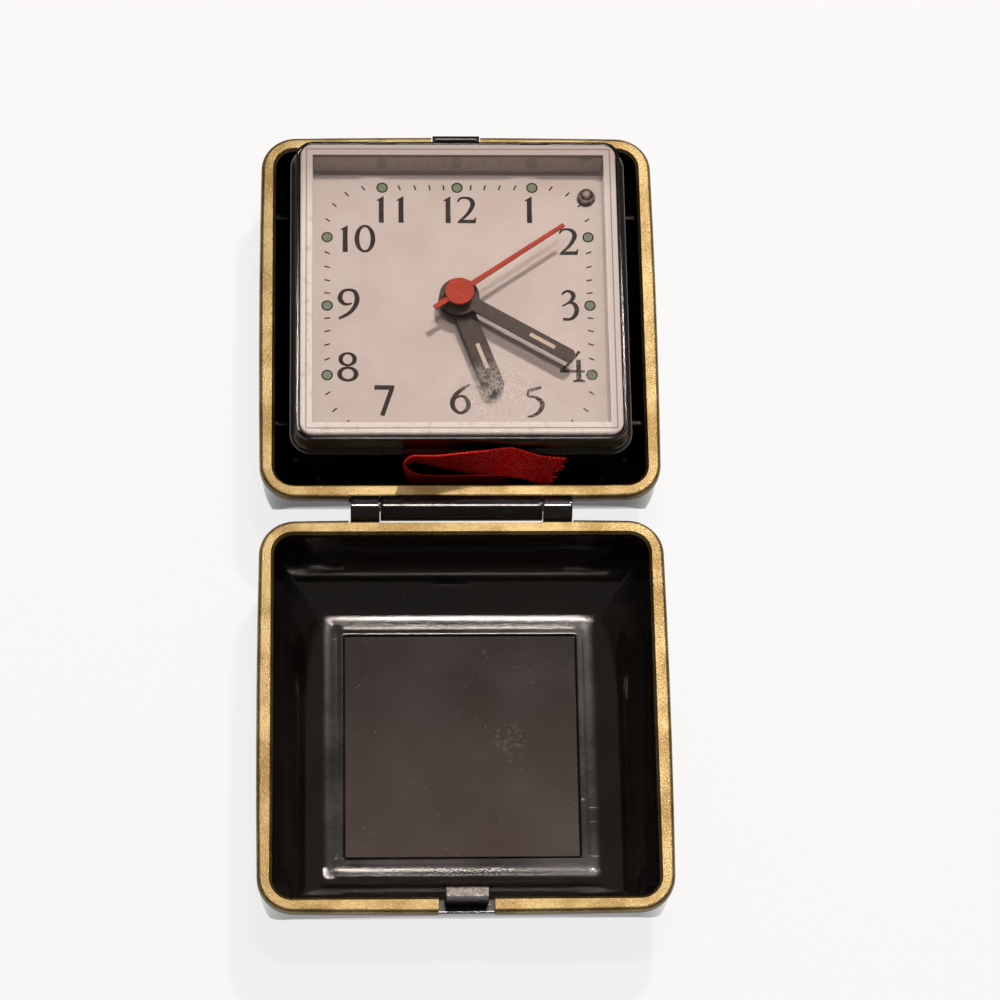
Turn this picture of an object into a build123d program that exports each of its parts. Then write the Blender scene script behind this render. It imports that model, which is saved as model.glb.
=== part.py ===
from build123d import *
import math
import os

# Folding travel clock, opened flat: lid towards -Y, base with its clock towards +Y.
# All sizes in millimetres. X runs along the hinge and Z is up from the table.

# Case halves
case_side = 70.0
case_depth = 20.0
corner_radius = 6.2
side_bow = 0.35
hinge_gap = 3.8
rim_width = 2.8
rim_height = 1.6
rim_outer_round = 0.7
rim_inner_bevel = 0.5
shell_inset = 0.3
cove_height = 12.9
cove_shift = 2.7
floor_thickness = 2.0
inside_cove = 8.95
outside_cove = 13.4

# Hinge
barrel_radius = 2.25
base_knuckle_length = 27.8
lid_knuckle_length = 5.0
knuckle_gap = 0.15
barrel_room = 0.35
pin_radius = 0.6
pin_clearance = 0.05
closed_gap = 0.3
web_depth = 5.0

# Latch
hook_width = 6.9
hook_thickness = 1.4
hook_inset = 1.6
hook_reach = 4.0
hook_root = 6.0
nose_length = 0.6
nose_height = 1.0
lid_notch_width = 9.4
button_notch_width = 8.8
button_travel = 0.8
button_height = 5.7
button_sink = 0.3
button_bulge = 0.2
catch_thickness = 0.8
latch_clearance = 0.2

# Lid panel
panel_margin = 3.25
panel_thickness = 0.6
panel_step = 0.2
panel_gap = 0.3

# Clock module, heights measured from the rim plane
module_margin = 5.5
module_corner = 4.0
module_shift = 0.4
module_wall = 1.5
frame_front = 6.0
frame_round = 0.6
bezel_ledge = 0.7
bezel_width = 0.6
bezel_drop = 0.7
split_height = -6.0
post_height = 2.3
back_wall = 1.4
back_bevel = 3.2
back_bevel_height = 4.0
tray_bevel = 2.5
tray_corner = 3.2
post_radius = 2.5
post_inset = 9.5
rib_thickness = 1.2
rib_clearance = 0.3
rib_top = -3.0
rib_foot = 4.0

# Crystal and dial
crystal_inset = 1.8
crystal_corner = 2.2
crystal_inner_corner = 0.5
crystal_wall = 2.2
crystal_plate = 1.4
crystal_room = 7.0
crystal_round = 0.5
crystal_clearance = 0.15
tab_width = 4.0
tab_reach = 0.3
tab_height = 1.2
tab_drop = 1.1
tab_spacing = 26.8
dial_height = 2.0
dial_thickness = 0.8
dial_overlap = 2.7
dial_ledge = 1.0
lamp_radius = 1.6
lamp_inset_x = 4.8
lamp_inset_y = 6.7
lamp_stem = 0.9
lamp_rise = 0.3

# Movement, shafts and hands
movement_inset = 9.5
movement_top_inset = 5.3
movement_bottom = -7.3
movement_gap = 1.0
support_radius = 1.5
support_inset = 4.0
shaft_clearance = 0.05
second_arbor_radius = 0.45
minute_tube_radius = 0.95
hour_tube_radius = 1.6
alarm_tube_radius = 2.2
bush_radius = 3.2
bush_height = 0.5
alarm_hand_lift = 0.9
hour_hand_lift = 2.0
minute_hand_lift = 3.6
second_hand_lift = 5.6
hand_thickness = 0.4
second_hub_thickness = 0.6
tube_step = 1.2
hour_angle = 160.1
minute_angle = 120.9
second_angle = 55.0
alarm_angle = 161.0
hour_length = 18.6
hour_width = 3.6
hour_hub_radius = 3.6
minute_inset = 4.8
minute_width = 2.5
minute_hub_radius = 3.5
second_inset = 5.2
second_tail = 5.4
second_width = 0.9
second_tip_width = 0.7
second_hub_radius = 2.5
alarm_length = 13.0
alarm_width = 1.2
alarm_hub_radius = 3.0
collar_radius = 2.8
collar_height = 0.5
slot_width = 0.7
slot_length = 5.0
hour_slot_start = 8.9
minute_slot_start = 14.2

# Back of the module
screw_inset = 4.5
screw_post = 6.4
screw_radius = 0.7
screw_head_radius = 1.2
screw_head_height = 1.2
screw_sink = 0.2
screw_tip = -2.3
battery_radius = 6.0
battery_length = 29.2
nub_radius = 2.0
nub_length = 1.0
battery_y = -14.0
battery_room = 0.1
contact_thickness = 0.4
contact_side = 8.0
partition = 1.25
door_thickness = 1.2
door_gap = 0.15
knob_radius = 4.4
knob_height = 1.7
knob_lift = 0.2
knob_flutes = 16
flute_radius = 0.5
knob_shaft_radius = 1.2
knob_shaft_bite = 2.0
knob_hole_clearance = 0.3
knob_spacing = 22.0
knob_y = 6.0
buzzer_radius = 9.0
buzzer_thickness = 3.0
buzzer_inset = 15.5
sound_hole_radius = 0.7
sound_ring_radius = 4.0
switch_x = -1.5
switch_y = -3.0
switch_travel = 3.0
stem_length = 3.0
stem_width = 2.0
switch_cap_length = 5.0
switch_cap_width = 3.0
switch_cap_height = 0.9
switch_plate_height = 0.8
switch_gap = 0.1

# Pull ribbon: lower and upper edge at each station, as X, distance from the hinge wall
# of the cavity, and height over the rim plane
ribbon_thickness = 0.3
ribbon_end = 17.7
ribbon_rib_gap = 6.8
ribbon_stations = [
    ((8.0, 0.65, -4.3), (8.0, 0.60, 2.2)),
    ((4.0, 0.65, -4.2), (4.0, 0.55, 2.3)),
    ((-3.0, 0.65, -4.1), (-3.0, 0.40, 2.4)),
    ((-6.5, 0.80, -3.5), (-6.8, 0.35, 2.9)),
    ((-8.6, 1.10, -1.8), (-8.9, 0.35, 4.6)),
    ((-9.7, 2.20, 1.0), (-9.95, 0.70, 7.2)),
    ((-8.3, 2.70, 3.0), (-8.6, 1.20, 9.2)),
    ((-6.2, 2.55, 2.8), (-6.4, 1.30, 9.1)),
    ((-3.9, 2.25, 2.2), (-4.1, 1.55, 8.6)),
    ((-0.2, 1.65, 1.3), (-0.6, 2.30, 7.8)),
    ((4.2, 1.10, 1.0), (3.7, 3.00, 7.3)),
    ((9.1, 0.40, 1.5), (8.1, 3.55, 7.4)),
    ((10.6, 0.40, 1.0), (9.8, 3.45, 6.9)),
    ((12.6, 0.40, -0.5), (13.6, 2.75, 5.7)),
    ((14.6, 0.40, -1.9), (ribbon_end, 2.70, 4.7)),
]

# Derived places
half_y = hinge_gap / 2 + case_side / 2
far_y = hinge_gap / 2 + case_side
mouth_side = case_side - 2 * rim_width
shell_side = case_side - 2 * shell_inset
floor_side = mouth_side - 2 * inside_cove
foot_side = shell_side - 2 * outside_cove
cavity_depth = case_depth - floor_thickness
inside_drop = cavity_depth - cove_height
outside_drop = max(rim_height + 0.1, inside_drop - cove_shift)
panel_side = floor_side - 2 * panel_margin
module_side = case_side - 2 * module_margin
module_back_height = post_height - cavity_depth
crystal_side = module_side - 2 * crystal_inset
dial_opening = crystal_side - 2 * dial_overlap
lamp_x = crystal_side / 2 - lamp_inset_x
lamp_y = crystal_side / 2 - lamp_inset_y
post_spacing = module_side - 2 * post_inset
screw_spacing = module_side - 2 * screw_inset
movement_width = module_side - 2 * movement_inset
movement_top = module_side / 2 - movement_top_inset
minute_length = crystal_side / 2 - minute_inset
second_length = crystal_side / 2 - second_inset
buzzer_y = module_side / 2 - buzzer_inset
rib_bottom = rib_foot - cavity_depth
inner_corner = corner_radius - rim_width
axis_z = case_depth + closed_gap / 2
module_y = half_y + module_shift
crystal_front = dial_height + crystal_room + crystal_plate
bezel_front = crystal_front - bezel_drop
tab_top = crystal_front - tab_drop
dial_under = dial_height - dial_thickness
ledge_under = dial_under - dial_ledge
back_floor = module_back_height + back_wall
movement_back = back_floor + buzzer_thickness + movement_gap
battery_z = dial_under - battery_room - battery_radius
barrel_half = base_knuckle_length / 2 + knuckle_gap + lid_knuckle_length
hinge_notch = 2 * (barrel_half + closed_gap)


def block(x0, x1, y0, y1, z0, z1):
    """A box between two corners."""
    box = Box(x1 - x0, y1 - y0, z1 - z0)
    return Pos((x0 + x1) / 2, (y0 + y1) / 2, (z0 + z1) / 2) * box


def rod(radius, z0, z1, x=0.0, y=0.0):
    """An upright cylinder between two heights."""
    return Pos(x, y, (z0 + z1) / 2) * Cylinder(radius, z1 - z0)


def rod_x(radius, x0, x1, y, z):
    """A cylinder along X."""
    return Pos((x0 + x1) / 2, y, z) * Rot(0, 90, 0) * Cylinder(radius, x1 - x0)


def plate(sketch, z0, z1):
    """A sketch drawn on the table plane, raised between two heights."""
    return Pos(0, 0, z0) * extrude(sketch, z1 - z0)


def rounded(side, radius):
    """A square with rounded corners."""
    return RectangleRounded(side, side, radius)


def bowed(side, radius, bow):
    """A rounded square whose sides swell by the bow at their middles."""
    half = side / 2
    tip = half - bow
    arcs = [
        ThreePointArc((-tip, -tip), (0, -half), (tip, -tip)),
        ThreePointArc((tip, -tip), (half, 0), (tip, tip)),
        ThreePointArc((tip, tip), (0, half), (-tip, tip)),
        ThreePointArc((-tip, tip), (-half, 0), (-tip, -tip)),
    ]
    face = make_face(arcs)
    return fillet(face.vertices(), radius)


def vault(mouth, foot, depth, drop, top):
    """A square bowl with coved sides that meet in mitred corners, mouth up at height 0."""
    sides = Polyline(
        (mouth / 2, -drop),
        (mouth / 2, top),
        (-mouth / 2, top),
        (-mouth / 2, -drop),
    )
    left = TangentArc((-mouth / 2, -drop), (-foot / 2, -depth), tangent=(0, -1))
    right = TangentArc((mouth / 2, -drop), (foot / 2, -depth), tangent=(0, -1))
    floor = Line((-foot / 2, -depth), (foot / 2, -depth))
    face = make_face([*sides.edges(), left, right, floor])
    ridge = extrude(Plane.XZ * face, mouth / 2 + 1, both=True)
    return ridge & (Rot(0, 0, 90) * ridge)


def bowl_outside():
    """The outside of one case half under its rim, centred on the half."""
    outline = bowed(shell_side, corner_radius - shell_inset, side_bow)
    solid = vault(shell_side, foot_side, case_depth, outside_drop, -rim_height)
    return solid & plate(outline, -case_depth, 0)


def bowl_inside():
    """The hollow of one case half, centred on the half."""
    hollow = vault(mouth_side, floor_side, cavity_depth, inside_drop, 1.0)
    return hollow & plate(rounded(mouth_side, inner_corner), -cavity_depth, 1.0)


def half_shell():
    """One case half in place on the base side, without knuckles."""
    shell = Pos(0, half_y, case_depth) * (bowl_outside() - bowl_inside())
    reach = barrel_radius + barrel_room
    notch = block(
        -hinge_notch / 2, hinge_notch / 2, 0, reach, case_depth - reach, case_depth + 1
    )
    return shell - notch


def half_rim(notch_width):
    """A gilt rim in place on the base side, open at the hinge and at the latch."""
    ring = plate(bowed(case_side, corner_radius, side_bow), -rim_height, 0)
    outer_edges = ring.faces().sort_by(Axis.Z)[-1].outer_wire().edges()
    ring = fillet(outer_edges, rim_outer_round)
    ring -= plate(rounded(mouth_side, inner_corner), -rim_height, 0)
    inner_edges = ring.faces().sort_by(Axis.Z)[-1].inner_wires()[0].edges()
    ring = chamfer(inner_edges, rim_inner_bevel)
    ring = Pos(0, half_y, case_depth) * ring
    reach = barrel_radius + barrel_room
    low = case_depth - rim_height - 1
    hinge_cut = block(-hinge_notch / 2, hinge_notch / 2, 0, reach, low, case_depth + 1)
    latch_cut = block(
        -notch_width / 2,
        notch_width / 2,
        far_y - rim_width - 1,
        far_y + 1,
        low,
        case_depth + 1,
    )
    return ring - hinge_cut - latch_cut


def knuckle(x0, x1):
    """A hinge knuckle with the web that ties it to a wall on the base side."""
    wall = hinge_gap / 2 + shell_inset + 1.0
    reach = barrel_radius + barrel_room
    web = block(x0, x1, 0, reach, case_depth - web_depth, case_depth - closed_gap / 2)
    root = block(x0, x1, 0, wall, case_depth - web_depth, case_depth - reach)
    return rod_x(barrel_radius, x0, x1, 0, axis_z) + web + root


def turned(shape):
    """The same shape on the lid side, half a turn about the upright axis."""
    return Rot(0, 0, 180) * shape


def make_base_shell():
    """The base: bowl, long knuckle, button slot, posts and ribs for the module."""
    half = base_knuckle_length / 2
    shell = half_shell() + knuckle(-half, half)
    shell -= rod_x(pin_radius, -half, half, 0, axis_z)
    slot_low = case_depth - button_sink - button_height - latch_clearance
    wide = button_notch_width / 2
    shell -= block(
        -wide, wide, far_y - rim_width - 1, far_y + 1, slot_low, case_depth + 1
    )
    outside = Pos(0, half_y, case_depth) * bowl_outside()
    for x in (-1, 1):
        for y in (-1, 1):
            shell += rod(
                post_radius,
                case_depth - cavity_depth,
                case_depth + module_back_height,
                x * post_spacing / 2,
                module_y + y * post_spacing / 2,
            )
    return shell + (make_ribs() & outside)


def make_ribs():
    """Upright ribs on the base's walls that keep the module in its place."""
    inner = module_side / 2 + rib_clearance
    outer = mouth_side / 2 + 1.0
    low = case_depth + rib_bottom
    high = case_depth + rib_top
    place = post_spacing / 2
    thick = rib_thickness / 2
    hinge_x = ribbon_end + ribbon_rib_gap
    far = block(place - thick, place + thick, inner, outer, low, high)
    near = block(hinge_x - thick, hinge_x + thick, -outer, -inner, low, high)
    side = block(inner, outer, place - thick, place + thick, low, high)
    side += block(inner, outer, -place - thick, -place + thick, low, high)
    right = Pos(0, module_y, 0) * (far + near + side)
    return right + mirror(right, Plane.YZ)


def make_lid_shell():
    """The lid: bowl, two short knuckles, hook slot and the recess for the panel."""
    shell = half_shell()
    inner = base_knuckle_length / 2 + knuckle_gap
    outer = inner + lid_knuckle_length
    ends = knuckle(inner, outer) + knuckle(-outer, -inner)
    ends -= rod_x(pin_radius + pin_clearance, -outer, outer, 0, axis_z)
    shell += ends
    recess = panel_side + 2 * panel_gap
    depth = panel_thickness + panel_step
    floor_z = case_depth - cavity_depth
    shell -= Pos(0, half_y, floor_z - depth / 2) * Box(recess, recess, depth)
    shell -= block(
        -hook_width / 2,
        hook_width / 2,
        far_y - hook_inset - hook_thickness,
        far_y - hook_inset,
        case_depth - hook_root,
        case_depth,
    )
    return turned(shell)


def make_lid_panel():
    """The square plate let into the lid's floor."""
    top = case_depth - cavity_depth - panel_step
    half = panel_side / 2
    return block(
        -half, half, -half_y - half, -half_y + half, top - panel_thickness, top
    )


def make_latch_hook():
    """The upright tongue on the lid's front wall, with its nose to the inside."""
    top = axis_z + closed_gap / 2 + hook_reach
    outer = -far_y + hook_inset
    inner = outer + hook_thickness
    half = hook_width / 2
    shank = block(-half, half, outer, inner, case_depth - hook_root, top)
    ramp = Polyline(
        (inner, top - nose_height),
        (inner + nose_length, top - nose_height),
        (inner, top),
        close=True,
    )
    nose = extrude(Plane.YZ * make_face(ramp), half, both=True)
    return shank + nose


def make_latch_button():
    """The push button in the base's wall: thumb pad, two rails and the catch bar."""
    half = button_notch_width / 2 - latch_clearance
    window = hook_width / 2 + latch_clearance
    top = case_depth - button_sink
    rail_low = case_depth - hook_reach + nose_height + latch_clearance
    pad_inner = far_y - hook_inset + button_travel + latch_clearance
    catch_outer = far_y - hook_inset - hook_thickness - latch_clearance
    catch_inner = catch_outer - catch_thickness
    pad = block(-half, half, pad_inner, far_y + button_bulge, top - button_height, top)
    pad = fillet(pad.edges().filter_by(Axis.Z).group_by(Axis.Y)[-1], button_bulge)
    rails = block(window, half, catch_inner, pad_inner, rail_low, top)
    rails += block(-half, -window, catch_inner, pad_inner, rail_low, top)
    catch = block(-half, half, catch_inner, catch_outer, rail_low, top)
    return pad + rails + catch


def in_module(shape):
    """Puts a shape from the module's own axis and the rim plane into place."""
    return Pos(0, module_y, case_depth) * shape


def corners(side):
    """The four corner places of a square of this side."""
    return [(x * side / 2, y * side / 2) for x in (-1, 1) for y in (-1, 1)]


def screw_posts(z0, z1):
    """Square posts in the module's corners that take its screws."""
    outer = module_side / 2 - module_wall / 2
    posts = block(outer - screw_post, outer, outer - screw_post, outer, z0, z1)
    posts += mirror(posts, Plane.YZ)
    return posts + mirror(posts, Plane.XZ)


def make_bezel():
    """The raised ring round the crystal, drawn in a little towards the front."""
    pocket = crystal_side + 2 * crystal_clearance
    corner = crystal_corner + crystal_clearance + bezel_width
    top_side = pocket + 2 * bezel_width
    foot_side = module_side - 2 * bezel_ledge
    top = Pos(0, 0, bezel_front) * rounded(top_side, corner)
    foot = Pos(0, 0, frame_front) * rounded(foot_side, corner)
    return loft([foot, top], ruled=True)


def make_module_frame():
    """The module's front: a deep square frame with the seat for dial and crystal."""
    frame = plate(rounded(module_side, module_corner), split_height, frame_front)
    frame = fillet(frame.faces().sort_by(Axis.Z)[-1].edges(), frame_round)
    frame += make_bezel()
    pocket = crystal_side + 2 * crystal_clearance
    frame -= plate(
        rounded(pocket, crystal_corner + crystal_clearance), dial_under, bezel_front
    )
    frame -= plate(rounded(dial_opening, 2.0), split_height, frame_front)
    rear = module_side - 2 * module_wall
    frame -= plate(
        rounded(rear, module_corner - module_wall), split_height, ledge_under
    )
    posts = screw_posts(split_height, ledge_under)
    for x, y in corners(screw_spacing):
        posts -= rod(screw_radius, split_height, ledge_under, x, y)
    frame += posts
    wide = tab_width / 2 + crystal_clearance
    deep = crystal_side / 2 + tab_reach + crystal_clearance
    low = tab_top - tab_height - crystal_clearance
    for x in (-tab_spacing / 2, tab_spacing / 2):
        frame -= block(x - wide, x + wide, deep - 2, deep, low, bezel_front)
    return in_module(frame)


def make_crystal():
    """The clear front: a square cap with two tabs that drop into the frame."""
    crystal = plate(rounded(crystal_side, crystal_corner), dial_height, crystal_front)
    crystal = fillet(crystal.faces().sort_by(Axis.Z)[-1].edges(), crystal_round)
    inside = crystal_side - 2 * crystal_wall
    crystal -= plate(
        rounded(inside, crystal_inner_corner),
        dial_height,
        crystal_front - crystal_plate,
    )
    half = crystal_side / 2
    for x in (-tab_spacing / 2, tab_spacing / 2):
        x0 = x - tab_width / 2
        crystal += block(
            x0, x0 + tab_width, half - 0.5, half + tab_reach, tab_top - tab_height, tab_top
        )
    return in_module(crystal)


def make_dial():
    """The square dial plate with its centre hole and the lamp's hole."""
    dial = plate(rounded(crystal_side, crystal_corner), dial_under, dial_height)
    dial -= rod(bush_radius + shaft_clearance, dial_under, dial_height)
    dial -= rod(lamp_radius + shaft_clearance, dial_under, dial_height, lamp_x, lamp_y)
    return in_module(dial)


def make_lamp():
    """The small domed lamp in the dial's corner."""
    base = dial_height + lamp_rise
    stem = rod(lamp_radius, dial_under - lamp_stem, base, lamp_x, lamp_y)
    dome = Pos(lamp_x, lamp_y, base) * Sphere(lamp_radius)
    dome &= block(
        lamp_x - 2 * lamp_radius,
        lamp_x + 2 * lamp_radius,
        lamp_y - 2 * lamp_radius,
        lamp_y + 2 * lamp_radius,
        base,
        base + lamp_radius,
    )
    return in_module(stem + dome)


def shaft_foot(steps):
    """The height where a shaft ends inside the movement, counted in steps."""
    return dial_under - tube_step - steps * tube_step


def make_movement():
    """The closed quartz movement with its stepped bush and the two knob bores."""
    wide = movement_width / 2
    body = block(-wide, wide, movement_bottom, movement_top, movement_back, dial_under)
    body = fillet(body.edges().filter_by(Axis.Z), 2.0)
    body += rod(bush_radius, dial_under - 1, dial_height + bush_height)
    top = dial_height + bush_height
    radii = (
        alarm_tube_radius,
        hour_tube_radius,
        minute_tube_radius,
        second_arbor_radius,
    )
    for step, radius in enumerate(radii):
        foot = shaft_foot(step) - shaft_clearance
        body -= rod(radius + shaft_clearance, foot, top)
    for side in (-1, 1):
        body -= rod(
            knob_shaft_radius + shaft_clearance,
            movement_back,
            movement_back + knob_shaft_bite + shaft_clearance,
            side * knob_spacing / 2,
            knob_y,
        )
    return in_module(body)


def on_axis(shape, angle=0.0):
    """Turns a hand drawn towards twelve to its angle and puts it on the dial's axis."""
    return in_module(Rot(0, 0, -angle) * shape)


def bar_hand(length, width, hub_radius):
    """The outline of a straight hand with a round hub, drawn towards twelve."""
    bar = Pos(0, length / 2) * Rectangle(width, length)
    tip = bar.vertices().sort_by(Axis.Y)[-2:]
    return fillet(tip, width * 0.4) + Circle(hub_radius)


def slot_bar(start):
    """The outline of the lume slot in a hand."""
    return Pos(0, start + slot_length / 2) * Rectangle(slot_width, slot_length)


def make_hour_pieces():
    """Hour hand with its lume, collar and tube."""
    low = dial_height + hour_hand_lift
    high = low + hand_thickness
    outline = bar_hand(hour_length, hour_width, hour_hub_radius)
    outline -= slot_bar(hour_slot_start) + Circle(hour_tube_radius)
    hand = plate(outline, low, high)
    lume = plate(slot_bar(hour_slot_start), low, high)
    bore = minute_tube_radius + shaft_clearance
    collar = plate(Circle(collar_radius) - Circle(bore), high, high + collar_height)
    tube = plate(Circle(hour_tube_radius) - Circle(bore), shaft_foot(1), high)
    return {
        "hour_hand": on_axis(hand, hour_angle),
        "hour_lume": on_axis(lume, hour_angle),
        "hour_collar": on_axis(collar),
        "hour_tube": on_axis(tube),
    }


def make_minute_pieces():
    """Minute hand with its lume and tube."""
    low = dial_height + minute_hand_lift
    high = low + hand_thickness
    outline = bar_hand(minute_length, minute_width, minute_hub_radius)
    outline -= slot_bar(minute_slot_start) + Circle(minute_tube_radius)
    hand = plate(outline, low, high)
    lume = plate(slot_bar(minute_slot_start), low, high)
    bore = second_arbor_radius + shaft_clearance
    tube = plate(Circle(minute_tube_radius) - Circle(bore), shaft_foot(2), high)
    return {
        "minute_hand": on_axis(hand, minute_angle),
        "minute_lume": on_axis(lume, minute_angle),
        "minute_tube": on_axis(tube),
    }


def make_second_pieces():
    """Second hand with its round cap, and the arbor that carries it."""
    low = dial_height + second_hand_lift
    high = low + second_hub_thickness
    needle = make_face(
        Polyline(
            (-second_width / 2, -second_tail),
            (second_width / 2, -second_tail),
            (second_width / 2, 0),
            (second_tip_width / 2, second_length),
            (-second_tip_width / 2, second_length),
            (-second_width / 2, 0),
            close=True,
        )
    )
    hand = plate(needle, low, low + hand_thickness)
    hand += rod(second_hub_radius, low, high)
    hand -= rod(second_arbor_radius, low, low + hand_thickness)
    arbor = rod(second_arbor_radius, shaft_foot(3), low + hand_thickness)
    return {
        "second_hand": on_axis(hand, second_angle),
        "second_arbor": on_axis(arbor),
    }


def make_alarm_pieces():
    """Alarm hand, lying under the hour hand, and its tube."""
    low = dial_height + alarm_hand_lift
    high = low + hand_thickness
    outline = bar_hand(alarm_length, alarm_width, alarm_hub_radius)
    hand = plate(outline - Circle(alarm_tube_radius), low, high)
    bore = hour_tube_radius + shaft_clearance
    tube = plate(Circle(alarm_tube_radius) - Circle(bore), shaft_foot(0), high)
    return {
        "alarm_hand": on_axis(hand, alarm_angle),
        "alarm_tube": on_axis(tube),
    }


def door_outline(gap):
    """The battery door's outline, or its opening where the gap is nothing."""
    wide = battery_length + nub_length - 2 * gap
    tall = 2 * battery_radius + 2 * battery_room - 2 * gap
    return Pos(0, battery_y) * Rectangle(wide, tall)


def make_module_back():
    """The module's rear tray: bevelled back, screw posts, battery bay and supports."""
    tray = plate(rounded(module_side, module_corner), module_back_height, split_height)
    back = tray.faces().sort_by(Axis.Z)[0]
    tray = chamfer(back.edges(), back_bevel, back_bevel_height, reference=back)
    outside = tray
    inner = plate(
        rounded(module_side - 2 * module_wall, tray_corner), back_floor, split_height
    )
    inner = chamfer(inner.faces().sort_by(Axis.Z)[0].edges(), tray_bevel)
    tray -= inner
    tray += screw_posts(back_floor, split_height) & outside
    sink = module_back_height + screw_sink + screw_head_height
    for x, y in corners(screw_spacing):
        tray -= rod(screw_radius + shaft_clearance, module_back_height, split_height, x, y)
        tray -= rod(screw_head_radius + shaft_clearance, module_back_height, sink, x, y)
    support_x = movement_width / 2 - support_inset
    for x in (-support_x, support_x):
        for y in (movement_bottom + support_inset, movement_top - support_inset):
            tray += rod(support_radius, back_floor, movement_back, x, y)
    end = (battery_length + nub_length) / 2 + contact_thickness
    half = contact_side / 2 + 1
    top = battery_z + contact_side / 2
    for side in (-1, 1):
        x0, x1 = sorted((side * end, side * (end + partition)))
        tray += block(x0, x1, battery_y - half, battery_y + half, back_floor, top)
    tray -= plate(door_outline(0.0), module_back_height, back_floor)
    for side in (-1, 1):
        tray -= rod(
            knob_shaft_radius + knob_hole_clearance,
            module_back_height,
            back_floor,
            side * knob_spacing / 2,
            knob_y,
        )
    slot = stem_length + switch_travel + 2 * knob_hole_clearance
    slot_x = switch_x + switch_travel / 2
    slot_half = stem_width / 2 + switch_gap
    tray -= block(
        slot_x - slot / 2,
        slot_x + slot / 2,
        switch_y - slot_half,
        switch_y + slot_half,
        module_back_height,
        back_floor,
    )
    holes = [(0.0, buzzer_y)]
    for step in range(6):
        turn = math.radians(60 * step)
        x = sound_ring_radius * math.cos(turn)
        holes.append((x, buzzer_y + sound_ring_radius * math.sin(turn)))
    for x, y in holes:
        tray -= rod(sound_hole_radius, module_back_height, back_floor, x, y)
    return in_module(tray)


def make_battery():
    """A plain round cell with its nub to the right."""
    start = -(battery_length + nub_length) / 2
    cell = rod_x(battery_radius, start, start + battery_length, battery_y, battery_z)
    end = start + battery_length
    cell += rod_x(nub_radius, end, end + nub_length, battery_y, battery_z)
    return in_module(cell)


def make_contact(side):
    """A battery contact plate against its partition, on the given side."""
    end = (battery_length + nub_length) / 2
    x0, x1 = sorted((side * end, side * (end + contact_thickness)))
    half = contact_side / 2
    return in_module(
        block(
            x0,
            x1,
            battery_y - half,
            battery_y + half,
            battery_z - half,
            battery_z + half,
        )
    )


def make_battery_door():
    """The door over the battery, flush with the back."""
    outline = door_outline(door_gap)
    low = module_back_height
    return in_module(plate(outline, low, low + door_thickness))


def make_screw(x, y):
    """A countersunk screw through the rear tray into the frame."""
    low = module_back_height + screw_sink
    head = rod(screw_head_radius, low, low + screw_head_height, x, y)
    neck = low + screw_head_height
    return in_module(head + rod(screw_radius, neck, screw_tip, x, y))


def make_knob(side):
    """A fluted setting knob behind the module, on the given side."""
    x = side * knob_spacing / 2
    high = module_back_height - knob_lift
    low = high - knob_height
    knob = rod(knob_radius, low, high)
    for step in range(knob_flutes):
        turn = 2 * math.pi * step / knob_flutes
        knob -= rod(
            flute_radius,
            low,
            high,
            knob_radius * math.cos(turn),
            knob_radius * math.sin(turn),
        )
    knob += rod(knob_shaft_radius, high, movement_back + knob_shaft_bite)
    return in_module(Pos(x, knob_y, 0) * knob)


def make_switch():
    """The alarm slide switch: cap outside, stem in the slot, plate inside."""
    cap_high = module_back_height - switch_gap
    cap_low = cap_high - switch_cap_height
    plate_low = back_floor + switch_gap
    cap = Pos(0, 0, (cap_low + cap_high) / 2) * Box(
        switch_cap_length, switch_cap_width, switch_cap_height
    )
    stem = block(
        -stem_length / 2,
        stem_length / 2,
        -stem_width / 2,
        stem_width / 2,
        cap_high,
        plate_low,
    )
    inner = Pos(0, 0, plate_low + switch_plate_height / 2) * Box(
        switch_cap_length, switch_cap_width, switch_plate_height
    )
    return in_module(Pos(switch_x, switch_y, 0) * (cap + stem + inner))


def make_buzzer():
    """The round alarm buzzer on the tray's floor, over the sound holes."""
    top = back_floor + buzzer_thickness
    return in_module(rod(buzzer_radius, back_floor, top, 0, buzzer_y))


def ribbon_section(index):
    """The ribbon's four corners at one station."""
    last = len(ribbon_stations) - 1
    low, high = [Vector(*edge) for edge in ribbon_stations[index]]
    before = [Vector(*edge) for edge in ribbon_stations[max(index - 1, 0)]]
    after = [Vector(*edge) for edge in ribbon_stations[min(index + 1, last)]]
    along = after[0] + after[1] - before[0] - before[1]
    side = along.cross(high - low).normalized() * (ribbon_thickness / 2)
    return [low - side, high - side, high + side, low + side]


def make_ribbon():
    """The pull ribbon: a strip on edge, folded back once and up along the frame."""
    sections = [ribbon_section(i) for i in range(len(ribbon_stations))]
    outlines = [sections[0], sections[-1]]
    for first, second in zip(sections, sections[1:]):
        for k in range(4):
            m = (k + 1) % 4
            outlines.append([first[k], first[m], second[m]])
            outlines.append([first[k], second[m], second[k]])
    faces = [make_face(Polyline(*outline, close=True)).faces()[0] for outline in outlines]
    strip = Solid(Shell(faces))
    return Pos(0, half_y - mouth_side / 2, case_depth) * strip


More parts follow.
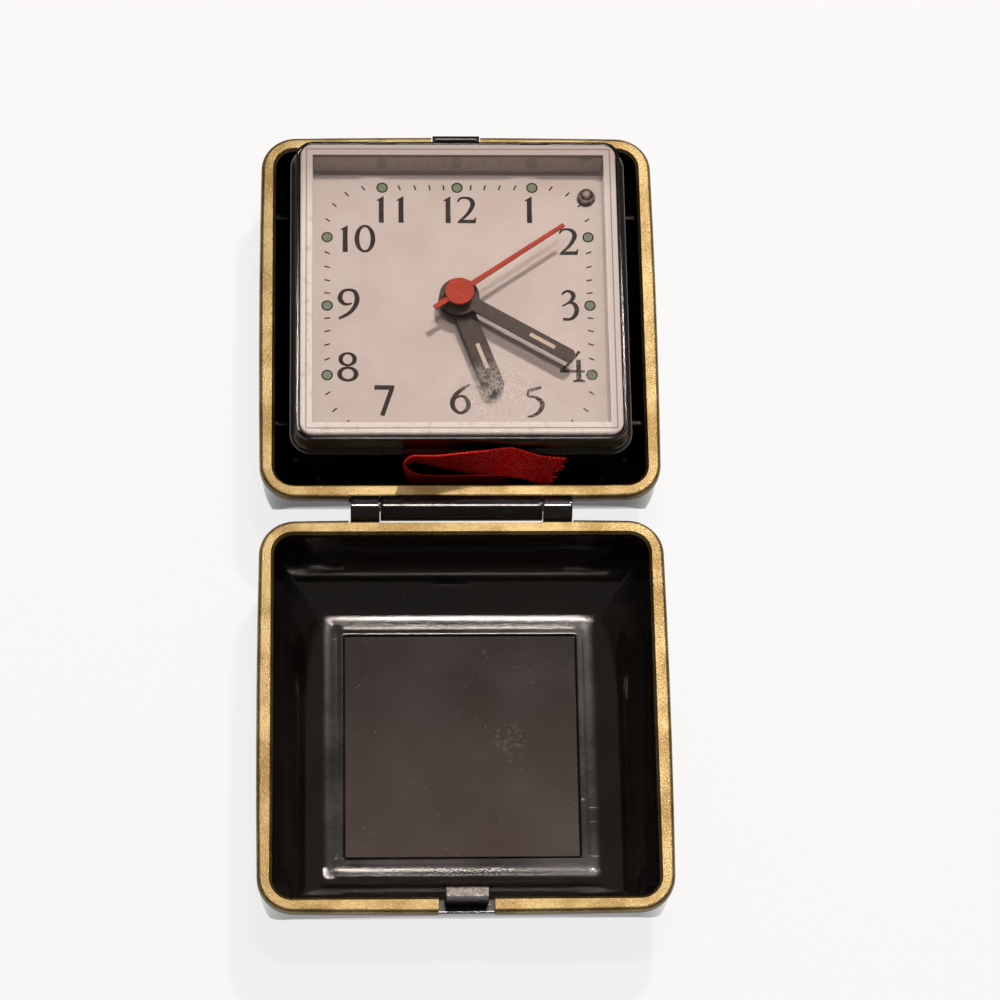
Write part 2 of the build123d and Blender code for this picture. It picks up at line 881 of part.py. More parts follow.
def make_parts():
    """Every piece by name."""
    parts = {
        "base_shell": make_base_shell(),
        "base_rim": half_rim(button_notch_width),
        "lid_shell": make_lid_shell(),
        "lid_rim": turned(half_rim(lid_notch_width)),
        "lid_panel": make_lid_panel(),
        "hinge_pin": rod_x(pin_radius, -barrel_half, barrel_half, 0, axis_z),
        "latch_hook": make_latch_hook(),
        "latch_button": make_latch_button(),
        "module_frame": make_module_frame(),
        "module_back": make_module_back(),
        "crystal": make_crystal(),
        "dial": make_dial(),
        "lamp": make_lamp(),
        "movement": make_movement(),
        "buzzer": make_buzzer(),
        "battery": make_battery(),
        "contact_plus": make_contact(1),
        "contact_minus": make_contact(-1),
        "battery_door": make_battery_door(),
        "time_knob": make_knob(1),
        "alarm_knob": make_knob(-1),
        "alarm_switch": make_switch(),
        "ribbon": make_ribbon(),
    }
    for number, (x, y) in enumerate(corners(screw_spacing), start=1):
        parts[f"screw_{number}"] = make_screw(x, y)
    parts.update(make_hour_pieces())
    parts.update(make_minute_pieces())
    parts.update(make_second_pieces())
    parts.update(make_alarm_pieces())
    return parts


os.makedirs("parts", exist_ok=True)
for name, shape in make_parts().items():
    export_step(shape, f"parts/{name}.step")
    print(name, round(shape.volume, 1))
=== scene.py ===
import logging
import math
from dataclasses import dataclass, field
from enum import Enum
from typing import Sequence

import bmesh
import bpy
from mathutils import Matrix, Vector

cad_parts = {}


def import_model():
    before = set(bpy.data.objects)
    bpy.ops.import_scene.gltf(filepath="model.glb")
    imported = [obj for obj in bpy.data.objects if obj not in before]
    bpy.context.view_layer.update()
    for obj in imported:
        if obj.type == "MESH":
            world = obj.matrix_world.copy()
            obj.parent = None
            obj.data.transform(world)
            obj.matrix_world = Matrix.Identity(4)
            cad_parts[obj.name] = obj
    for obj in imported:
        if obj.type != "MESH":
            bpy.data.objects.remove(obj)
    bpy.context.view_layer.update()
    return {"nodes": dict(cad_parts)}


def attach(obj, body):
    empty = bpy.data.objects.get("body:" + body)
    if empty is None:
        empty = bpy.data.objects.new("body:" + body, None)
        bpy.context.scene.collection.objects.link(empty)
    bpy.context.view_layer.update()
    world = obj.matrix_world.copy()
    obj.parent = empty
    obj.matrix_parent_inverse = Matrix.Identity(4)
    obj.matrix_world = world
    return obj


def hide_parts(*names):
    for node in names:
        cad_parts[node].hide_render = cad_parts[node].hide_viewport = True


LOG = logging.getLogger("travel_clock")

MM = 0.001

# In millimetres, with the hinge along Y = 0 and the table at Z = 0.
RIM_PLANE = 20.0
DIAL_AXIS = (0.0, 37.3)
DIAL_TOP = RIM_PLANE + 2.0
CAP_FRONT = 30.4
HOOK_TOP = 24.3
BASE_MIDDLE = (0.0, 36.9)
LID_MIDDLE = (0.0, -36.9)

BEVEL_SAMPLES = 12

Colour = tuple[float, float, float]
Flat = tuple[float, float]
Place = tuple[float, float, float]
Socket = bpy.types.NodeSocket
Value = float | Socket
Tint = Colour | Socket


class Ray(Enum):
    """The kinds of ray that see the floor glow."""

    CAMERA = "Is Camera Ray"
    GLOSSY = "Is Glossy Ray"
    TRANSMISSION = "Is Transmission Ray"


class Graph:
    """The shader nodes of one material, with short calls for those the finishes share."""

    def __init__(self, name: str) -> None:
        """Starts a material with one Principled shader and coordinates in millimetres.

        Args:
            name: The material's name.
        """
        self.material = bpy.data.materials.new(name)
        self.material.use_nodes = True
        tree = self.material.node_tree
        self.nodes = tree.nodes
        self.links = tree.links
        self.nodes.clear()
        self.output = self.nodes.new("ShaderNodeOutputMaterial")
        self.shader = self.nodes.new("ShaderNodeBsdfPrincipled")
        self.links.new(self.shader.outputs[0], self.output.inputs[0])
        self.coordinates = self.nodes.new("ShaderNodeTexCoord")
        self.place = self.scaled((1000.0, 1000.0, 1000.0))

    def scaled(self, scale: Place, turn: float = 0.0) -> Socket:
        """Object coordinates stretched along the axes.

        Args:
            scale: The factor along each axis, per metre.
            turn: A turn about Z in degrees, after the stretch.

        Returns:
            The vector socket.
        """
        node = self.nodes.new("ShaderNodeMapping")
        turned = (0.0, 0.0, math.radians(turn))
        self.give(node, Vector=self.coordinates.outputs["Object"], Scale=scale, Rotation=turned)
        return node.outputs["Vector"]

    def plug(self, socket: Socket, value: Value | Place) -> None:
        """Links a socket where the value is one, and otherwise sets it.

        Args:
            socket: The input that takes the value.
            value: Another node's output, a number, a colour or a vector.
        """
        if isinstance(value, Socket):
            self.links.new(value, socket)
        elif isinstance(value, tuple) and len(value) == 3 and socket.type == "RGBA":
            socket.default_value = (*value, 1.0)
        else:
            socket.default_value = value

    def give(self, node: bpy.types.Node, **inputs: Value | Place) -> None:
        """Gives values to a node's sockets, whose names have spaces for underscores."""
        for name, value in inputs.items():
            self.plug(node.inputs[name.replace("_", " ")], value)

    def feed(self, **inputs: Value | Place) -> None:
        """Gives values to the shader's sockets."""
        self.give(self.shader, **inputs)

    def noise(self, scale: float, detail: float = 3.0, vector: Socket | None = None) -> Socket:
        """Soft noise.

        Args:
            scale: Features per millimetre.
            detail: Octaves of finer noise.
            vector: Coordinates other than the plain ones.

        Returns:
            The value socket.
        """
        node = self.nodes.new("ShaderNodeTexNoise")
        self.give(node, Vector=vector or self.place, Scale=scale, Detail=detail)
        return node.outputs["Fac"]

    def span(
        self, source: Socket, low: float, high: float, start: float = 0.0, end: float = 1.0,
    ) -> Socket:
        """Stretches a value from one range to another, held at the ends.

        Args:
            source: The value.
            low: The value that gives start.
            high: The value that gives end.
            start: The result at low.
            end: The result at high.

        Returns:
            The value socket.
        """
        node = self.nodes.new("ShaderNodeMapRange")
        node.interpolation_type = "SMOOTHSTEP"
        self.give(node, Value=source, From_Min=low, From_Max=high, To_Min=start, To_Max=end)
        return node.outputs["Result"]

    def calc(self, kind: str, first: Value, second: Value) -> Socket:
        """One step of arithmetic.

        Args:
            kind: Blender's name of the operation.
            first: A value or a socket.
            second: A value or a socket.

        Returns:
            The value socket.
        """
        node = self.nodes.new("ShaderNodeMath")
        node.operation = kind
        self.plug(node.inputs[0], first)
        self.plug(node.inputs[1], second)
        return node.outputs[0]

    def mix(self, share: Value, first: Tint, second: Tint) -> Socket:
        """Mixes two colours.

        Args:
            share: The second colour's share.
            first: A colour or a socket.
            second: A colour or a socket.

        Returns:
            The colour socket.
        """
        node = self.nodes.new("ShaderNodeMix")
        node.data_type = "RGBA"
        self.plug(node.inputs["Factor"], share)
        self.plug(node.inputs[6], first)
        self.plug(node.inputs[7], second)
        return node.outputs[2]

    def bump(self, height: Socket, depth: float, crease: Value | None = None) -> None:
        """Roughens the surface.

        Args:
            height: The relief, from 0 to 1.
            depth: The relief's depth in millimetres.
            crease: How far the light rounds off a crease, in metres, as a number or a socket.
        """
        node = self.nodes.new("ShaderNodeBump")
        if crease is not None:
            rounded = self.nodes.new("ShaderNodeBevel")
            rounded.samples = BEVEL_SAMPLES
            self.give(rounded, Radius=crease)
            self.give(node, Normal=rounded.outputs[0])
        self.give(node, Strength=1.0, Distance=depth * MM, Height=height)
        self.feed(Normal=node.outputs[0], Coat_Normal=node.outputs[0])

    def blend(self, share: Socket, first: bpy.types.Node, second: bpy.types.Node) -> None:
        """Makes a mix of two shaders the material's surface.

        Args:
            share: The second shader's share.
            first: A shader node.
            second: A shader node.
        """
        node = self.nodes.new("ShaderNodeMixShader")
        for socket, source in zip(node.inputs, (share, first.outputs[0], second.outputs[0])):
            self.links.new(source, socket)
        self.links.new(node.outputs[0], self.output.inputs[0])

    def axis(self, name: str, vector: Socket | None = None) -> Socket:
        """One part of a vector.

        Args:
            name: X, Y or Z.
            vector: The vector, which is the place in millimetres unless another is given.

        Returns:
            The value socket.
        """
        node = self.nodes.new("ShaderNodeSeparateXYZ")
        self.links.new(vector or self.place, node.inputs[0])
        return node.outputs[name]

    def out_from(self, middle: Flat) -> Socket:
        """How far a place lies from the middle of a square, at right angles to its sides.

        Args:
            middle: The square's middle in millimetres.

        Returns:
            The value socket, in millimetres.
        """
        out_x = self.calc("ABSOLUTE", self.calc("SUBTRACT", self.axis("X"), middle[0]), 0.0)
        out_y = self.calc("ABSOLUTE", self.calc("SUBTRACT", self.axis("Y"), middle[1]), 0.0)
        return self.calc("MAXIMUM", out_x, out_y)

    def spot(self, centre: Place, radius: float, soft: float) -> Socket:
        """A round patch that fades out at its edge.

        Args:
            centre: The middle in millimetres.
            radius: Where the patch has gone, in millimetres.
            soft: The width of the fading edge in millimetres.

        Returns:
            A socket that is 1 inside and 0 outside.
        """
        node = self.nodes.new("ShaderNodeVectorMath")
        node.operation = "DISTANCE"
        self.links.new(self.place, node.inputs[0])
        node.inputs[1].default_value = centre
        return self.span(node.outputs["Value"], radius - soft, radius, 1.0, 0.0)


@dataclass(frozen=True)
class Finish:
    """A surface finish that makes one Blender material."""

    name: str

    def material(self) -> bpy.types.Material:
        """Makes the material.

        Returns:
            The new material.
        """
        graph = Graph(self.name)
        self.lay(graph)
        return graph.material

    def lay(self, g: Graph) -> None:
        """Lays the material's nodes."""
        raise NotImplementedError


@dataclass(frozen=True)
class MouldedBlack(Finish):
    """Black moulded plastic with wiping marks, fine scratches and a little dust."""

    colour: Colour = (0.0032, 0.0026, 0.0022)
    worn: Colour = (0.0075, 0.0058, 0.0050)
    dust: Colour = (0.20, 0.17, 0.15)
    gloss: Flat = (0.14, 0.25)
    dusty: float = 0.30
    grain: float = 0.006
    crease: float = 0.8
    haze: float = 0.16
    coat: float = 0.9
    coat_roughness: float = 0.065
    coat_ior: float = 1.5

    def lay(self, g: Graph) -> None:
        """Lays the material's nodes.

        Args:
            g: The graph that takes them.
        """
        smear = g.noise(0.09, 4.0)
        fine = g.noise(2.2, 5.0)
        lines = g.noise(1.0, 2.0, g.scaled((260.0, 3100.0, 260.0), 31.0))
        scratch = g.calc("MULTIPLY", g.span(lines, 0.69, 0.76), g.span(g.noise(0.05, 1.0), 0.5, 0.6))
        specks = g.span(g.noise(3.4, 1.0), 0.735, 0.765)
        settled = g.span(g.noise(0.16, 2.0), 0.46, 0.66)
        colour = g.mix(g.span(smear, 0.36, 0.68), self.colour, self.worn)
        colour = g.mix(g.calc("MULTIPLY", scratch, 0.06), colour, self.dust)
        share = g.calc("MULTIPLY", g.calc("MULTIPLY", specks, settled), self.dusty)
        colour = g.mix(share, colour, self.dust)
        rough = g.span(g.calc("ADD", smear, g.calc("MULTIPLY", fine, 0.35)), 0.45, 0.9, *self.gloss)
        g.feed(Base_Color=colour, Roughness=g.calc("ADD", rough, g.calc("MULTIPLY", scratch, 0.12)))
        g.feed(Specular_IOR_Level=self.haze, Coat_Weight=self.coat_at(g))
        g.feed(Coat_Roughness=self.coat_roughness, Coat_IOR=self.coat_ior)
        g.bump(g.calc("ADD", fine, scratch), self.grain, self.crease_at(g))

    def crease_at(self, g: Graph) -> Value:
        """How far creases are rounded off, in metres."""
        return self.crease * MM

    def coat_at(self, g: Graph) -> Value:
        """How much of the surface gloss is left."""
        return self.coat


@dataclass(frozen=True)
class BaseBlack(MouldedBlack):
    """The base's plastic, glossy outside and dull inside its cavity."""

    mouth: float = 32.4
    mouth_edge: float = 0.2
    level: float = -0.02

    def coat_at(self, g: Graph) -> Value:
        """Leaves the gloss outside the cavity only.

        Args:
            g: The graph that takes the nodes.

        Returns:
            The value socket.
        """
        wall = g.span(g.out_from(BASE_MIDDLE), self.mouth, self.mouth + self.mouth_edge)
        shape = g.nodes.new("ShaderNodeNewGeometry")
        under = g.calc("LESS_THAN", g.axis("Z", shape.outputs["True Normal"]), self.level)
        return g.calc("MULTIPLY", g.calc("MAXIMUM", wall, under), self.coat)


@dataclass(frozen=True)
class LidBlack(MouldedBlack):
    """The lid's plastic, whose coved sides run softly into the floor."""

    floor_edge: float = 23.25
    cove: float = 2.8
    inward: Flat = (2.2, 1.6)
    outward: Flat = (3.0, 4.0)

    def crease_at(self, g: Graph) -> Value:
        """Rounds the foot of the cove more than the other creases.

        Args:
            g: The graph that takes the nodes.

        Returns:
            The value socket, in metres.
        """
        out = g.out_from(LID_MIDDLE)
        inner = g.span(out, *(self.floor_edge - reach for reach in self.inward))
        outer = g.span(out, *(self.floor_edge + reach for reach in self.outward), 1.0, 0.0)
        wide = g.calc("MULTIPLY", g.calc("MULTIPLY", inner, outer), (self.cove - self.crease) * MM)
        return g.calc("ADD", wide, self.crease * MM)


@dataclass(frozen=True)
class HighlitTop(Finish):
    """Black plastic with a painted highlight in patches along its top."""

    colour: Colour = (0.0045, 0.0036, 0.0032)
    rubbed: Colour = (0.22, 0.150, 0.125)
    top: float = HOOK_TOP

    def lay(self, g: Graph) -> None:
        """Lays the material's nodes.

        Args:
            g: The graph that takes them.
        """
        patchy = g.span(g.noise(1.5, 4.0), 0.30, 0.62)
        # Painted highlight: the top is paled in patches.
        worn = g.calc("MULTIPLY", g.span(g.axis("Z"), self.top - 0.7, self.top - 0.1), patchy)
        g.feed(Base_Color=g.mix(worn, self.colour, self.rubbed))
        g.feed(Roughness=g.span(g.noise(2.4, 4.0), 0.3, 0.7, 0.16, 0.34))
        g.bump(g.noise(1.8, 4.0), 0.05)


@dataclass(frozen=True)
class LidPlate(Finish):
    """The matt brown-black plate in the lid, with a greasy mark, specks of dust and a painted reflection
    that lightens it towards the edge away from the hinge.
    """

    colour: Colour = (0.0150, 0.0088, 0.0076)
    worn: Colour = (0.0640, 0.0440, 0.0400)
    dust: Colour = (0.24, 0.20, 0.18)
    mark: Place = (8.6, -35.6, 1.8)
    mark_radius: float = 4.6
    mark_edge: float = 3.4
    painted_reflection_span: Flat = (-58.0, -16.0)
    shine: float = 0.12

    def lay(self, g: Graph) -> None:
        """Lays the material's nodes.

        Args:
            g: The graph that takes them.
        """
        smear = g.noise(0.07, 4.0)
        fine = g.noise(3.0, 4.0)
        lines = g.noise(1.0, 2.0, g.scaled((1900.0, 110.0, 90.0), 24.0))
        scratch = g.span(lines, 0.69, 0.76)
        specks = g.span(g.noise(1.9, 1.0), 0.725, 0.755)
        specks = g.calc("MULTIPLY", specks, g.span(g.noise(0.12, 2.0), 0.50, 0.60))
        greasy = g.spot(self.mark, self.mark_radius, self.mark_edge)
        smudge = g.calc("MULTIPLY", greasy, g.span(g.noise(1.5, 4.0), 0.46, 0.62))
        # Painted reflection: the plate grows lighter towards the edge away from the hinge, on top of random
        # smear tone.
        settled = g.span(g.axis("Y"), *self.painted_reflection_span, 0.9, 0.0)
        haze = g.calc("ADD", settled, g.span(smear, 0.40, 0.7, 0.0, 0.15))
        colour = g.mix(haze, self.colour, self.worn)
        colour = g.mix(g.calc("MULTIPLY", smudge, 0.16), colour, self.dust)
        colour = g.mix(g.calc("MULTIPLY", specks, 0.6), colour, self.dust)
        colour = g.mix(g.calc("MULTIPLY", scratch, 0.10), colour, self.dust)
        rough = g.span(smear, 0.3, 0.7, 0.40, 0.52)
        rough = g.calc("SUBTRACT", rough, g.calc("MULTIPLY", smudge, 0.06))
        g.feed(Base_Color=colour, Roughness=rough, Specular_IOR_Level=self.shine)
        g.bump(g.calc("ADD", fine, scratch), 0.008)


@dataclass(frozen=True)
class Gilt(Finish):
    """Satin gilt plating, finely pitted, darker brown down its outer side."""

    bright: Colour = (0.330, 0.250, 0.120)
    deep: Colour = (0.195, 0.132, 0.052)
    brown: Colour = (0.065, 0.035, 0.013)
    glint: Colour = (0.62, 0.50, 0.29)
    top: float = RIM_PLANE

    def lay(self, g: Graph) -> None:
        """Lays the material's nodes.

        Args:
            g: The graph that takes them.
        """
        broad = g.noise(0.16, 3.0)
        pits = g.noise(4.2, 3.0)
        colour = g.mix(g.span(broad, 0.35, 0.68), self.bright, self.deep)
        colour = g.mix(g.span(pits, 0.55, 0.70, 0.0, 0.75), colour, self.deep)
        colour = g.mix(g.span(g.noise(1.6, 5.0), 0.60, 0.74, 0.0, 0.7), colour, self.brown)
        colour = g.mix(g.span(g.noise(3.4, 2.0), 0.60, 0.70, 0.0, 0.6), colour, self.glint)
        # The outer side goes darker brown below the top.
        side = g.span(g.axis("Z"), self.top - 0.9, self.top - 0.35, 0.85, 0.0)
        colour = g.mix(side, colour, self.brown)
        rough = g.span(pits, 0.3, 0.75, 0.36, 0.56)
        g.feed(Base_Color=colour, Metallic=1.0, Roughness=rough)
        g.bump(pits, 0.060)


@dataclass(frozen=True)
class BareMetal(Finish):
    """Plain metal with faint drawing lines and spots."""

    colour: Colour = (0.50, 0.49, 0.47)
    dull: Colour = (0.30, 0.28, 0.26)
    gloss: Flat = (0.24, 0.42)

    def lay(self, g: Graph) -> None:
        """Lays the material's nodes.

        Args:
            g: The graph that takes them.
        """
        spots = g.noise(1.4, 4.0)
        lines = g.noise(1.0, 2.0, g.scaled((300.0, 6000.0, 6000.0)))
        colour = g.mix(g.span(spots, 0.45, 0.7), self.colour, self.dull)
        g.feed(Base_Color=colour, Metallic=1.0, Roughness=g.span(lines, 0.3, 0.7, *self.gloss))
        g.bump(lines, 0.004)


@dataclass(frozen=True)
class ClearCap(Finish):
    """Clear plastic that lets the lamps through, scratched, with one frosted patch. Its walls are painted
    pale for the light they carry, with painted reflection lines and painted shade towards the far side, the
    right and lower down.
    """

    colour: Colour = (0.985, 0.97, 0.955)
    edge: Colour = (0.92, 0.860, 0.830)
    line: Colour = (0.33, 0.245, 0.215)
    painted_reflection_line: Colour = (0.17, 0.115, 0.100)
    speck: Colour = (0.76, 0.655, 0.625)
    let_through: Colour = (0.92, 0.905, 0.89)
    ior: float = 1.49
    shine: float = 0.25
    inside: float = 25.5
    stripe: float = 0.62
    patch: Place = (6.4, 17.6, CAP_FRONT)
    patch_radius: float = 8.5
    patch_edge: float = 7.5
    far_side: Flat = (48.0, 63.5)
    right_side: Flat = (24.8, 26.2)
    below: Flat = (28.4, 29.9)
    painted_wall_light_share: float = 0.90
    cloudy_patch: float = 0.60

    def lay(self, g: Graph) -> None:
        """Lays the material's nodes.

        Args:
            g: The graph that takes them.
        """
        lines = g.noise(1.0, 2.0, g.scaled((140.0, 2200.0, 140.0), 32.0))
        scratch = g.span(lines, 0.72, 0.78)
        grain = g.span(g.noise(3.6, 3.0), 0.47, 0.58)
        blotch = g.span(g.noise(0.5, 3.0), 0.36, 0.56)
        patch = g.spot(self.patch, self.patch_radius, self.patch_edge)
        rubbed = g.calc("MULTIPLY", patch, g.calc("MULTIPLY", grain, blotch))
        # The walls are painted pale for the light they carry, and the stripes across them are painted
        # reflection lines.
        out = g.out_from(DIAL_AXIS)
        wall = g.span(out, self.inside, self.inside + 0.12)
        stripes = g.calc("PINGPONG", g.calc("SUBTRACT", out, self.inside - 0.08), self.stripe)
        dark = g.span(stripes, 0.05, 0.16, 0.70, 0.0)
        # Painted shade darkens the walls towards the far side, the right and lower down, on top of random
        # tone.
        shade = g.span(g.noise(0.8, 3.0), 0.5, 0.75, 0.0, 0.30)
        far = g.span(g.axis("Y"), *self.far_side, 0.0, 0.55)
        far = g.calc("MAXIMUM", far, g.span(g.axis("X"), *self.right_side, 0.0, 0.26))
        deep = g.span(g.axis("Z"), *self.below, 0.70, 0.0)
        shade = g.calc("MAXIMUM", shade, g.calc("MAXIMUM", far, deep))
        edge = g.mix(dark, g.mix(shade, self.edge, self.line), self.painted_reflection_line)
        g.feed(Base_Color=g.mix(wall, g.mix(rubbed, self.colour, self.speck), edge))
        # The walls let little light through, so that their painted light shows; the frosted patch is real.
        wall_light = g.calc("MULTIPLY", wall, self.painted_wall_light_share)
        frost_and_wall_light = g.calc("MAXIMUM", wall_light, g.calc("MULTIPLY", rubbed, self.cloudy_patch))
        g.feed(Transmission_Weight=g.calc("SUBTRACT", 1.0, frost_and_wall_light), IOR=self.ior)
        g.feed(Specular_IOR_Level=self.shine, Roughness=g.span(scratch, 0.0, 1.0, 0.02, 0.10))
        g.bump(g.noise(0.5, 2.0), 0.002)
        path = g.nodes.new("ShaderNodeLightPath")
        through = g.nodes.new("ShaderNodeBsdfTransparent")
        g.give(through, Color=self.let_through)
        g.blend(path.outputs["Is Shadow Ray"], g.shader, through)


@dataclass(frozen=True)
class DialCard(Finish):
    """The dial's pale satin paint, slightly mottled and yellowed in broad patches."""

    colour: Colour = (0.684, 0.616, 0.613)
    aged: Colour = (0.634, 0.554, 0.541)
    speck: Colour = (0.30, 0.22, 0.19)

    def lay(self, g: Graph) -> None:
        """Lays the material's nodes.

        Args:
            g: The graph that takes them.
        """
        broad = g.noise(0.11, 4.0)
        fine = g.noise(6.0, 4.0)
        specks = g.span(g.noise(3.2, 0.0), 0.79, 0.82)
        colour = g.mix(g.span(broad, 0.35, 0.7), self.colour, self.aged)
        colour = g.mix(g.calc("MULTIPLY", specks, 0.4), colour, self.speck)
        colour = g.mix(g.span(fine, 0.35, 0.75, 0.0, 0.12), colour, self.aged)
        g.feed(Base_Color=colour, Roughness=g.span(fine, 0.3, 0.7, 0.50, 0.62))
        g.bump(fine, 0.006)


@dataclass(frozen=True)
class Print(Finish):
    """Printed ink, a little broken, and rubbed thin where the cap is worn."""

    colour: Colour = (0.013, 0.0075, 0.0065)
    faded: Colour = (0.038, 0.024, 0.020)
    card: Colour = (0.60, 0.49, 0.455)
    worn_at: Place = (14.5, 20.5, DIAL_TOP)
    worn_radius: float = 15.0
    worn_edge: float = 7.0
    worn: float = 0.50
    shine: float = 0.10

    def lay(self, g: Graph) -> None:
        """Lays the material's nodes.

        Args:
            g: The graph that takes them.
        """
        grain = g.noise(7.0, 4.0)
        broken = g.span(g.noise(3.8, 4.0), 0.50, 0.60)
        rubbed = g.calc("MULTIPLY", g.spot(self.worn_at, self.worn_radius, self.worn_edge), broken)
        colour = g.mix(g.span(grain, 0.5, 0.75, 0.0, 0.6), self.colour, self.faded)
        colour = g.mix(g.calc("MULTIPLY", rubbed, self.worn), colour, self.card)
        g.feed(Base_Color=colour, Roughness=g.span(grain, 0.3, 0.7, 0.45, 0.65))
        g.feed(Specular_IOR_Level=self.shine)
        g.bump(grain, 0.004)


@dataclass(frozen=True)
class Paint(Finish):
    """Satin paint or dyed plastic with a fine grain, worn lighter in spots."""

    colour: Colour
    worn: Colour
    gloss: Flat = (0.30, 0.45)
    grain: float = 0.006
    scale: float = 2.0
    shine: float = 0.25

    def lay(self, g: Graph) -> None:
        """Lays the material's nodes.

        Args:
            g: The graph that takes them.
        """
        g.feed(Specular_IOR_Level=self.shine)
        spots = g.noise(self.scale, 4.0)
        fine = g.noise(self.scale * 4.0, 3.0)
        colour = g.mix(g.span(spots, 0.50, 0.74), self.colour, self.worn)
        g.feed(Base_Color=colour, Roughness=g.span(fine, 0.3, 0.7, *self.gloss))
        g.bump(fine, self.grain)


@dataclass(frozen=True)
class LampLens(Finish):
    """A small clear lens with painted highlights in its middle and in a ring part way out, and a dark ring
    round its foot.
    """

    axis: Flat = (22.9, 58.3)
    painted_highlight: Colour = (0.66, 0.56, 0.50)
    body: Colour = (0.27, 0.20, 0.175)
    ring: Colour = (0.045, 0.030, 0.026)

    def lay(self, g: Graph) -> None:
        """Lays the material's nodes.

        Args:
            g: The graph that takes them.
        """
        along = g.calc("POWER", g.calc("SUBTRACT", g.axis("X"), self.axis[0]), 2.0)
        across = g.calc("POWER", g.calc("SUBTRACT", g.axis("Y"), self.axis[1]), 2.0)
        reach = g.calc("POWER", g.calc("ADD", along, across), 0.5)
        reach = g.calc("ADD", reach, g.span(g.noise(1.6, 3.0), 0.2, 0.8, -0.16, 0.16))
        # Painted highlights: pale in the middle and in a ring between the two dark rings.
        colour = g.mix(g.span(reach, 0.35, 0.75), self.painted_highlight, self.body)
        colour = g.mix(g.span(reach, 0.80, 0.98), colour, self.ring)
        colour = g.mix(g.span(reach, 1.05, 1.20), colour, self.painted_highlight)
        colour = g.mix(g.span(reach, 1.36, 1.50), colour, self.ring)
        g.feed(Base_Color=colour, Transmission_Weight=0.35, IOR=1.5)
        g.feed(Roughness=g.span(g.noise(3.0, 2.0), 0.3, 0.7, 0.05, 0.14))
        g.bump(g.noise(1.8, 2.0), 0.01)


@dataclass(frozen=True)
class RibbonWeave(Finish):
    """Red satin-woven ribbon: staggered threads that glint, with close selvedges and painted shade along its
    first stretch in the gap.
    """

    thread: Colour = (0.92, 0.007, 0.010)
    second: Colour = (0.66, 0.004, 0.007)
    gap: Colour = (0.10, 0.0006, 0.0012)
    glint: Colour = (0.95, 0.12, 0.09)
    sheen: Colour = (1.0, 0.25, 0.2)
    pitch: Flat = (0.62, 0.44)
    gap_width: float = 0.075
    gap_edge: float = 0.6
    painted_shade_span: Flat = (14.0, 20.5)

    def lay(self, g: Graph) -> None:
        """Lays the material's nodes.

        Args:
            g: The graph that takes them.
        """
        node = g.nodes.new("ShaderNodeTexBrick")
        g.give(node, Vector=g.coordinates.outputs["UV"], Scale=1.0)
        g.give(node, Color1=self.thread, Color2=self.second, Mortar=self.gap)
        g.give(node, Mortar_Size=self.gap_width, Mortar_Smooth=self.gap_edge)
        g.give(node, Brick_Width=self.pitch[0], Row_Height=self.pitch[1])
        threads = g.calc("SUBTRACT", 1.0, node.outputs["Fac"])
        sparkle = g.calc("MULTIPLY", g.span(g.noise(2.0, 2.0), 0.44, 0.60), threads)
        colour = g.mix(g.calc("MULTIPLY", sparkle, 0.40), node.outputs["Color"], self.glint)
        along = g.axis("X", g.coordinates.outputs["UV"])
        # Painted shade: the first stretch of the ribbon darkens towards the gap colour.
        colour = g.mix(g.span(along, *self.painted_shade_span, 0.86, 0.0), colour, self.gap)
        g.feed(Base_Color=colour, Roughness=g.span(g.noise(2.0, 3.0), 0.3, 0.7, 0.42, 0.58))
        g.feed(Specular_IOR_Level=0.05, Sheen_Weight=0.03, Sheen_Roughness=0.4, Sheen_Tint=self.sheen)
        g.bump(threads, 0.06)


@dataclass(frozen=True)
class FloorPaint(Finish):
    """White paint that looks lit from within and keeps a soft shadow."""

    colour: Colour = (0.86, 0.85, 0.84)
    shade: float = 0.18

    def lay(self, g: Graph) -> None:
        """Lays the material's nodes.

        Args:
            g: The graph that takes them.
        """
        path = g.nodes.new("ShaderNodeLightPath")
        seen = 0.0
        for ray in Ray:
            seen = g.calc("MAXIMUM", seen, path.outputs[ray.value])
        paint = g.nodes.new("ShaderNodeBsdfDiffuse")
        g.give(paint, Color=self.colour)
        glow = g.nodes.new("ShaderNodeEmission")
        g.blend(g.calc("MULTIPLY", seen, 1.0 - self.shade), paint, glow)


def new_piece(name: str, build: bmesh.types.BMesh, finish: bpy.types.Material) -> bpy.types.Object:
    """Puts a finished mesh into the scene.

    Args:
        name: The piece's name.
        build: The mesh in metres, which is freed.
        finish: Its material.

    Returns:
        The new object.
    """
    mesh = bpy.data.meshes.new(name)
    build.to_mesh(mesh)
    build.free()
    mesh.materials.append(finish)
    piece = bpy.data.objects.new(name, mesh)
    bpy.context.scene.collection.objects.link(piece)
    return piece


def smooth_line(points: Sequence[Sequence[float]], steps: int) -> list[list[float]]:
    """A smooth line through points, for any number of values per point.

    Args:
        points: The points to pass through.
        steps: Steps between two points.

    Returns:
        The points of the smooth line.
    """
    line = []
    last = len(points) - 1
    for i in range(last):
        around = [points[min(max(i + k, 0), last)] for k in (-1, 0, 1, 2)]
        for step in range(steps):
            t = step / steps
            line.append([catmull(t, *values) for values in zip(*around)])
    line.append(list(points[last]))
    return line


def catmull(t: float, a: float, b: float, c: float, d: float) -> float:
    """The value between b and c of a smooth curve through four values."""
    bend = 2 * a - 5 * b + 4 * c - d + (3 * b - a - 3 * c + d) * t
    return b + 0.5 * t * (c - a + t * bend)


